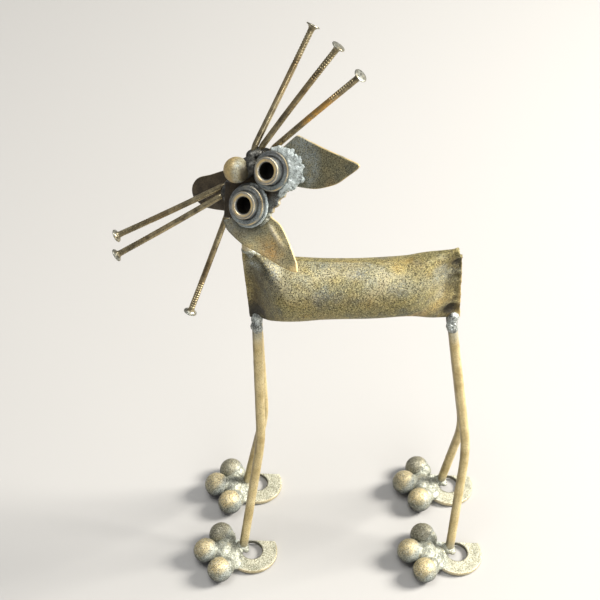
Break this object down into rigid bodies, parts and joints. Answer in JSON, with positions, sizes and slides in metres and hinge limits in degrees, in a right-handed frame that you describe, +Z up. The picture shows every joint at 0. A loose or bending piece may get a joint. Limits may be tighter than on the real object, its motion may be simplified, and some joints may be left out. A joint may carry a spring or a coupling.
{
  "type": "metal cat sculpture",
  "caption": "Standing cat welded from scrap steel: pinched tube body, bent rod legs, half-washer feet with ball toes, sleeve eyes, leaf ears and nail whiskers.",
  "frame": {"origin": "middle of the bounding box's underside, on the surface that the feet stand on", "axes": "+Z up; +X from the head end toward the rear; -Y toward the cat's left side, which the face is turned to"},
  "size_m": [0.2308, 0.1032, 0.3846],
  "materials": {
    "tube": "olive bronze patina, finely speckled, satin",
    "rod": "pale yellow bronze patina, satin",
    "washer": "pale grey-gold patina with worn bright edges",
    "ball": "bronze-gold patina over blue-grey steel, satin",
    "weld": "silver-grey weld, pitted",
    "plate": "dark brown-olive patina",
    "leaf": "olive and orange-bronze patina with gold worn edges",
    "flange": "blue-grey steel with dark film",
    "sleeve": "brass-gold rim on grey steel",
    "nail": "grey-brown bronze patina, pale heads"
  },
  "bodies": {
    "root": {"body_tube": "tube", "neck_rod": "rod", "foot_plate_front_left": "washer", "leg_front_left": "rod", "toe_front_left_outer": "ball", "toe_front_left_middle": "ball", "toe_front_left_inner": "ball", "ankle_weld_front_left": "weld", "toe_weld_front_left": "weld", "foot_plate_front_right": "washer", "leg_front_right": "rod", "toe_front_right_outer": "ball", "toe_front_right_middle": "ball", "toe_front_right_inner": "ball", "ankle_weld_front_right": "weld", "toe_weld_front_right": "weld", "foot_plate_rear_left": "washer", "leg_rear_left": "rod", "toe_rear_left_outer": "ball", "toe_rear_left_middle": "ball", "toe_rear_left_inner": "ball", "ankle_weld_rear_left": "weld", "toe_weld_rear_left": "weld", "foot_plate_rear_right": "washer", "leg_rear_right": "rod", "toe_rear_right_outer": "ball", "toe_rear_right_middle": "ball", "toe_rear_right_inner": "ball", "ankle_weld_rear_right": "weld", "toe_weld_rear_right": "weld", "hip_weld_front": "weld", "hip_weld_rear": "weld", "neck_weld": "weld", "face_plate": "plate", "ear_left": "leaf", "ear_right": "leaf", "eye_ring_left": "weld", "eye_flange_left": "flange", "eye_flange_right": "flange", "eye_sleeve_left": "sleeve", "eye_sleeve_right": "sleeve", "nose_ball": "ball", "jaw_plate": "plate", "whisker_right_front": "nail", "whisker_right_middle": "nail", "whisker_right_back": "nail", "whisker_left_front": "nail", "whisker_left_middle": "nail", "whisker_left_back": "nail", "nose_weld": "weld", "ear_weld_right": "weld", "ear_weld_left": "weld", "whisker_weld_right": "weld", "whisker_weld_left": "weld", "head_weld": "weld"}
  },
  "joints": []
}
